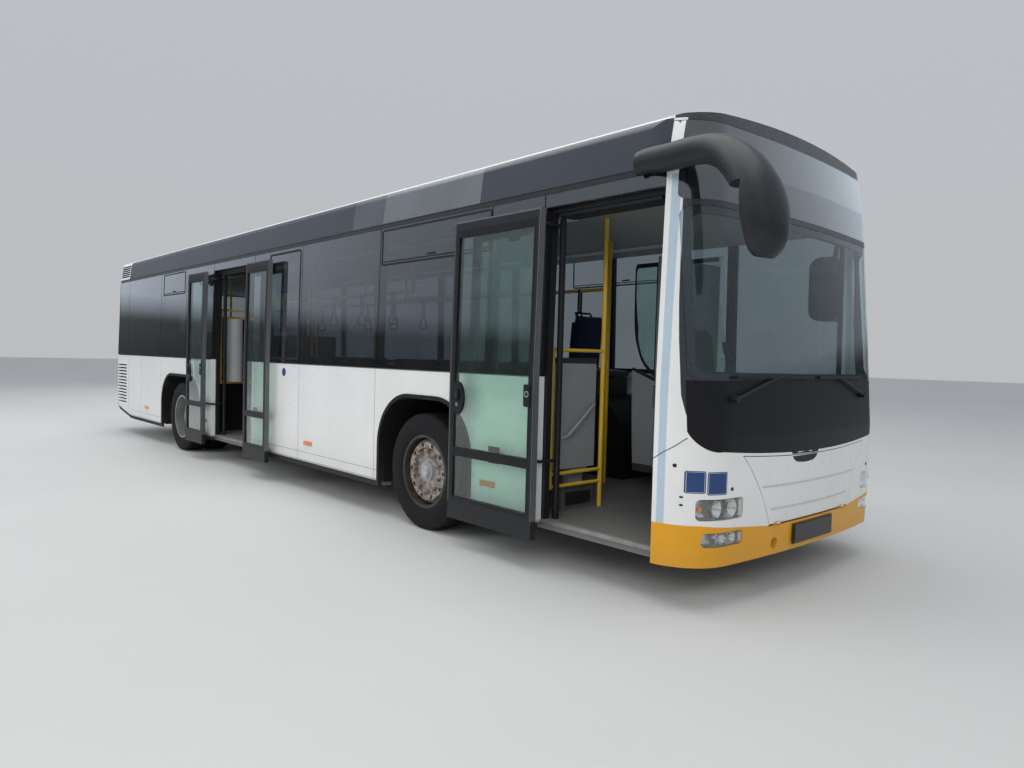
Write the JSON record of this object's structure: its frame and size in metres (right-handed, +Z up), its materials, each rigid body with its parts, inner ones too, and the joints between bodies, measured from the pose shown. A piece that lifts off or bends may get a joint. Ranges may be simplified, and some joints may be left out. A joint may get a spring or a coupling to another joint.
{
  "type": "city bus",
  "caption": "Low-floor city bus with outward-swinging doors standing open, wide side windows, rounded nose, cowled mirror arm and steered front wheels.",
  "frame": {"origin": "on the ground under the middle of the overall box", "axes": "+X forward, +Y to the vehicle's left, +Z up"},
  "size_m": [12.437, 3.0237, 2.9674],
  "materials": {
    "body_white": "gloss",
    "roof_white": "satin",
    "bumper_yellow": "gloss",
    "dark_panel": "gloss",
    "clear_glass": "polished",
    "tinted_glass": "polished",
    "lamp_clear": "polished",
    "lamp_red": "gloss",
    "lamp_amber": "gloss",
    "black_plastic": "matte",
    "grey_plastic": "matte",
    "arch_black": "matte",
    "door_dark": "satin",
    "steel_black": "rough",
    "engine_iron": "rough",
    "rim_steel": "satin",
    "tyre": "matte",
    "floor_grey": "matte",
    "ceiling_white": "matte",
    "seat_fabric": "woven",
    "driver_fabric": "woven",
    "rail_yellow": "gloss",
    "spring_rubber": "matte",
    "plate_holder": "matte",
    "cove_charcoal": "satin"
  },
  "bodies": {
    "bus": {"floor_frame": "floor_grey", "side_wall_right": "body_white", "side_wall_left": "body_white", "side_glass": "tinted_glass", "roof": "roof_white", "cove_panels": "cove_charcoal", "roof_hatches": "roof_white", "front_mask": "body_white", "windscreen": "clear_glass", "destination_glass": "tinted_glass", "windscreen_panel": "dark_panel", "front_bumper": "bumper_yellow", "front_lamps": "lamp_clear", "rear_wall": "body_white", "rear_glass": "tinted_glass", "rear_lamps": "lamp_red", "engine_grilles": "body_white", "wheel_boxes": "arch_black", "front_axle": "steel_black", "rear_axle": "steel_black", "air_springs": "spring_rubber", "engine_block": "engine_iron", "door_frames": "black_plastic", "ceiling": "ceiling_white", "passenger_seats": "seat_fabric", "driver_cab": "grey_plastic", "cab_glass": "clear_glass", "dashboard": "black_plastic", "steering_wheel": "black_plastic", "driver_seat": "driver_fabric", "handrails": "rail_yellow", "partition": "grey_plastic", "wipers": "black_plastic", "mirrors": "black_plastic", "marker_lamps": "lamp_amber", "number_plate": "plate_holder"},
    "knuckle_right": {"knuckle_right": "steel_black"},
    "knuckle_left": {"knuckle_left": "steel_black"},
    "wheel_front_right": {"rim_front_right": "rim_steel", "tyre_front_right": "tyre"},
    "wheel_front_left": {"rim_front_left": "rim_steel", "tyre_front_left": "tyre"},
    "wheel_rear_right": {"rim_rear_right": "rim_steel", "tyres_rear_right": "tyre"},
    "wheel_rear_left": {"rim_rear_left": "rim_steel", "tyres_rear_left": "tyre"},
    "door_front_arms": {"door_front_post": "black_plastic"},
    "door_front_leaf": {"door_front_leaf": "door_dark", "door_front_glass": "clear_glass"},
    "door_rear_a_arms": {"door_rear_a_post": "black_plastic"},
    "door_rear_a_leaf": {"door_rear_a_leaf": "door_dark", "door_rear_a_glass": "clear_glass"},
    "door_rear_b_arms": {"door_rear_b_post": "black_plastic"},
    "door_rear_b_leaf": {"door_rear_b_leaf": "door_dark", "door_rear_b_glass": "clear_glass"},
    "front_flap": {"front_flap": "body_white"},
    "engine_lid": {"engine_lid": "body_white"}
  },
  "joints": [
    {"name": "door_front_swing", "type": "hinge", "parent": "bus", "child": "door_front_arms", "pos_m": [4.4675, -1.102, 1.3], "axis": [0, 0, 1], "range_deg": [0, 149.6]},
    {"name": "door_front_leaf_turn", "type": "hinge", "parent": "door_front_arms", "child": "door_front_leaf", "pos_m": [4.04798, -1.275, 1.3], "axis": [0, 0, 1], "range_deg": [-149.6, 0]},
    {"name": "door_rear_a_swing", "type": "hinge", "parent": "bus", "child": "door_rear_a_arms", "pos_m": [-1.5545, -1.102, 1.3], "axis": [0, 0, 1], "range_deg": [0, 140]},
    {"name": "door_rear_a_leaf_turn", "type": "hinge", "parent": "door_rear_a_arms", "child": "door_rear_a_leaf", "pos_m": [-1.85957, -1.275, 1.3], "axis": [0, 0, 1], "range_deg": [-140, 0]},
    {"name": "door_rear_b_swing", "type": "hinge", "parent": "bus", "child": "door_rear_b_arms", "pos_m": [-0.3805, -1.102, 1.3], "axis": [0, 0, 1], "range_deg": [-140, 0]},
    {"name": "door_rear_b_leaf_turn", "type": "hinge", "parent": "door_rear_b_arms", "child": "door_rear_b_leaf", "pos_m": [-0.07543, -1.275, 1.3], "axis": [0, 0, 1], "range_deg": [0, 140]},
    {"name": "steer_left", "type": "hinge", "parent": "bus", "child": "knuckle_left", "pos_m": [3.0625, 0.905, 0.478], "axis": [0, 0, 1], "range_deg": [-42, 42]},
    {"name": "steer_right", "type": "hinge", "parent": "bus", "child": "knuckle_right", "pos_m": [3.0625, -0.905, 0.478], "axis": [0, 0, 1], "range_deg": [-42, 42]},
    {"name": "spin_front_left", "type": "hinge", "parent": "knuckle_left", "child": "wheel_front_left", "pos_m": [3.0625, 1.0945, 0.478], "axis": [0, 1, 0], "continuous": true},
    {"name": "spin_front_right", "type": "hinge", "parent": "knuckle_right", "child": "wheel_front_right", "pos_m": [3.0625, -1.0945, 0.478], "axis": [0, 1, 0], "continuous": true},
    {"name": "spin_rear_left", "type": "hinge", "parent": "bus", "child": "wheel_rear_left", "pos_m": [-2.8125, 0.937, 0.478], "axis": [0, 1, 0], "continuous": true},
    {"name": "spin_rear_right", "type": "hinge", "parent": "bus", "child": "wheel_rear_right", "pos_m": [-2.8125, -0.937, 0.478], "axis": [0, 1, 0], "continuous": true},
    {"name": "front_flap_hinge", "type": "hinge", "parent": "bus", "child": "front_flap", "pos_m": [5.7545, 0, 0.451], "axis": [0, 1, 0], "range_deg": [0, 85]},
    {"name": "engine_lid_hinge", "type": "hinge", "parent": "bus", "child": "engine_lid", "pos_m": [-6.2145, 0, 1.282], "axis": [0, 1, 0], "range_deg": [0, 75]}
  ],
  "couplings": [
    {"joint": "door_front_leaf_turn", "follows": "door_front_swing", "ratio": -1},
    {"joint": "door_rear_a_leaf_turn", "follows": "door_rear_a_swing", "ratio": -1},
    {"joint": "door_rear_b_leaf_turn", "follows": "door_rear_b_swing", "ratio": -1},
    {"joint": "steer_right", "follows": "steer_left", "ratio": 1}
  ]
}
